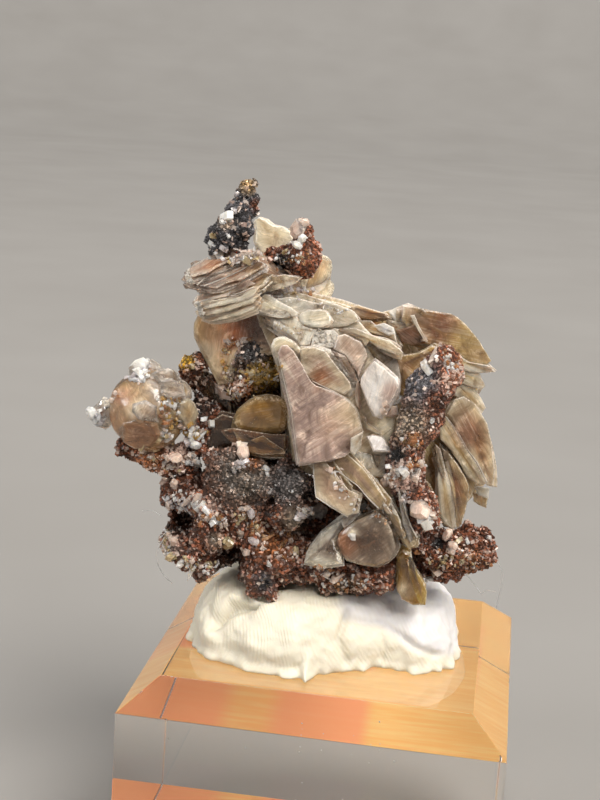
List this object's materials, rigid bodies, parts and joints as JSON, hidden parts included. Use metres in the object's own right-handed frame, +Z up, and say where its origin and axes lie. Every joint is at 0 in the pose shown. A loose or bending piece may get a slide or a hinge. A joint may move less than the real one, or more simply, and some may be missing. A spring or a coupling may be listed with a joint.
{
  "type": "calcite rosette specimen",
  "caption": "Rosettes of lens-shaped calcite blades on dark iron and manganese oxide matrix, held by mineral tack on a clear bevelled display block.",
  "frame": {"origin": "middle of the display block's flat underside", "axes": "+Z up out of the block's top face, -Y towards the viewer who sees the front of the specimen, +X to that viewer's right"},
  "size_m": [0.0383, 0.032, 0.0596],
  "materials": {
    "calcite_olive": "translucent olive tan calcite with pale frosted edges and fine growth lines",
    "calcite_pink": "translucent pinkish brown calcite in thin plates",
    "calcite_cream": "pale cream calcite, satin",
    "calcite_smoky": "clear smoky brown calcite, glassy",
    "calcite_veiled": "smoky calcite ball with white veils and an amber side",
    "calcite_yellow": "clear yellow brown calcite, glassy",
    "oxide_dark": "blue grey to black manganese oxide, sparkling with tiny crystals",
    "oxide_red": "red brown iron oxide crust with pale pink grains",
    "tack": "ivory mineral tack, pressed and ridged by fingertips",
    "acrylic": "clear polished acrylic with sharp bevels"
  },
  "bodies": {
    "root": {"main_rosette": "calcite_olive", "upper_left_rosette": "calcite_pink", "back_top_blades": "calcite_cream", "smoky_crystal": "calcite_smoky", "ball_rosette": "calcite_veiled", "left_lens_crystals": "calcite_yellow", "lower_blades": "calcite_smoky", "hanging_point": "calcite_yellow", "matrix_right_finger": "oxide_dark", "matrix_stalk": "oxide_dark", "matrix_crown": "oxide_red", "matrix_spine": "oxide_dark", "matrix_left_arm": "oxide_red", "matrix_base": "oxide_red", "matrix_right_foot": "oxide_red", "mineral_tack": "tack", "acrylic_block": "acrylic"}
  },
  "joints": []
}
